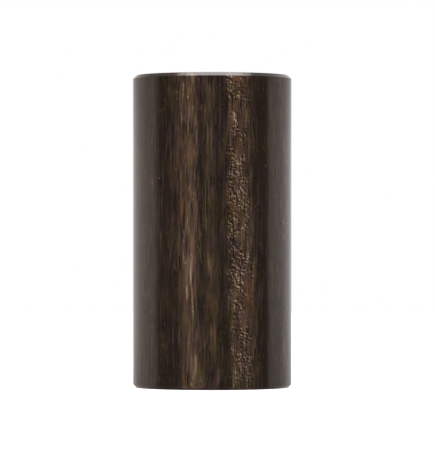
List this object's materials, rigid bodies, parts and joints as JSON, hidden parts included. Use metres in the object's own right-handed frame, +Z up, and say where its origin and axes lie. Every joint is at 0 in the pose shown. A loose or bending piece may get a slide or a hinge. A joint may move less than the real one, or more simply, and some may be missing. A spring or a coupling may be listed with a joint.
{
  "type": "dip pen holder",
  "caption": "Upright turned dark wooden cylinder for dip pens, with a lift-out brass cup, a drilled wooden pen guide in its mouth and a weighted felt base.",
  "frame": {"origin": "centre of the felt pad's underside, on the surface that the holder stands on", "axes": "+Z up along the cylinder's axis; -Y towards the viewer; one pen hole of the guide is at -Y"},
  "size_m": [0.05, 0.05, 0.0984],
  "materials": {
    "dark_wood": "satin",
    "brass": "satin",
    "steel": "satin",
    "black_felt": "matte",
    "grey_felt": "matte"
  },
  "bodies": {
    "holder": {"body": "dark_wood", "cup_seat_felt": "black_felt", "ballast": "steel", "ballast_screws": "steel", "base_pad": "black_felt"},
    "liner": {"cup": "brass", "tip_cushion": "grey_felt"},
    "guide": {"pen_guide": "dark_wood", "pull_knob": "brass", "knob_screw": "steel"}
  },
  "joints": [
    {"name": "cup_lift", "type": "slide", "parent": "holder", "child": "liner", "axis": [0, 0, 1], "range_m": [0, 0.085]},
    {"name": "guide_lift", "type": "slide", "parent": "liner", "child": "guide", "axis": [0, 0, 1], "range_m": [0, 0.04]}
  ]
}
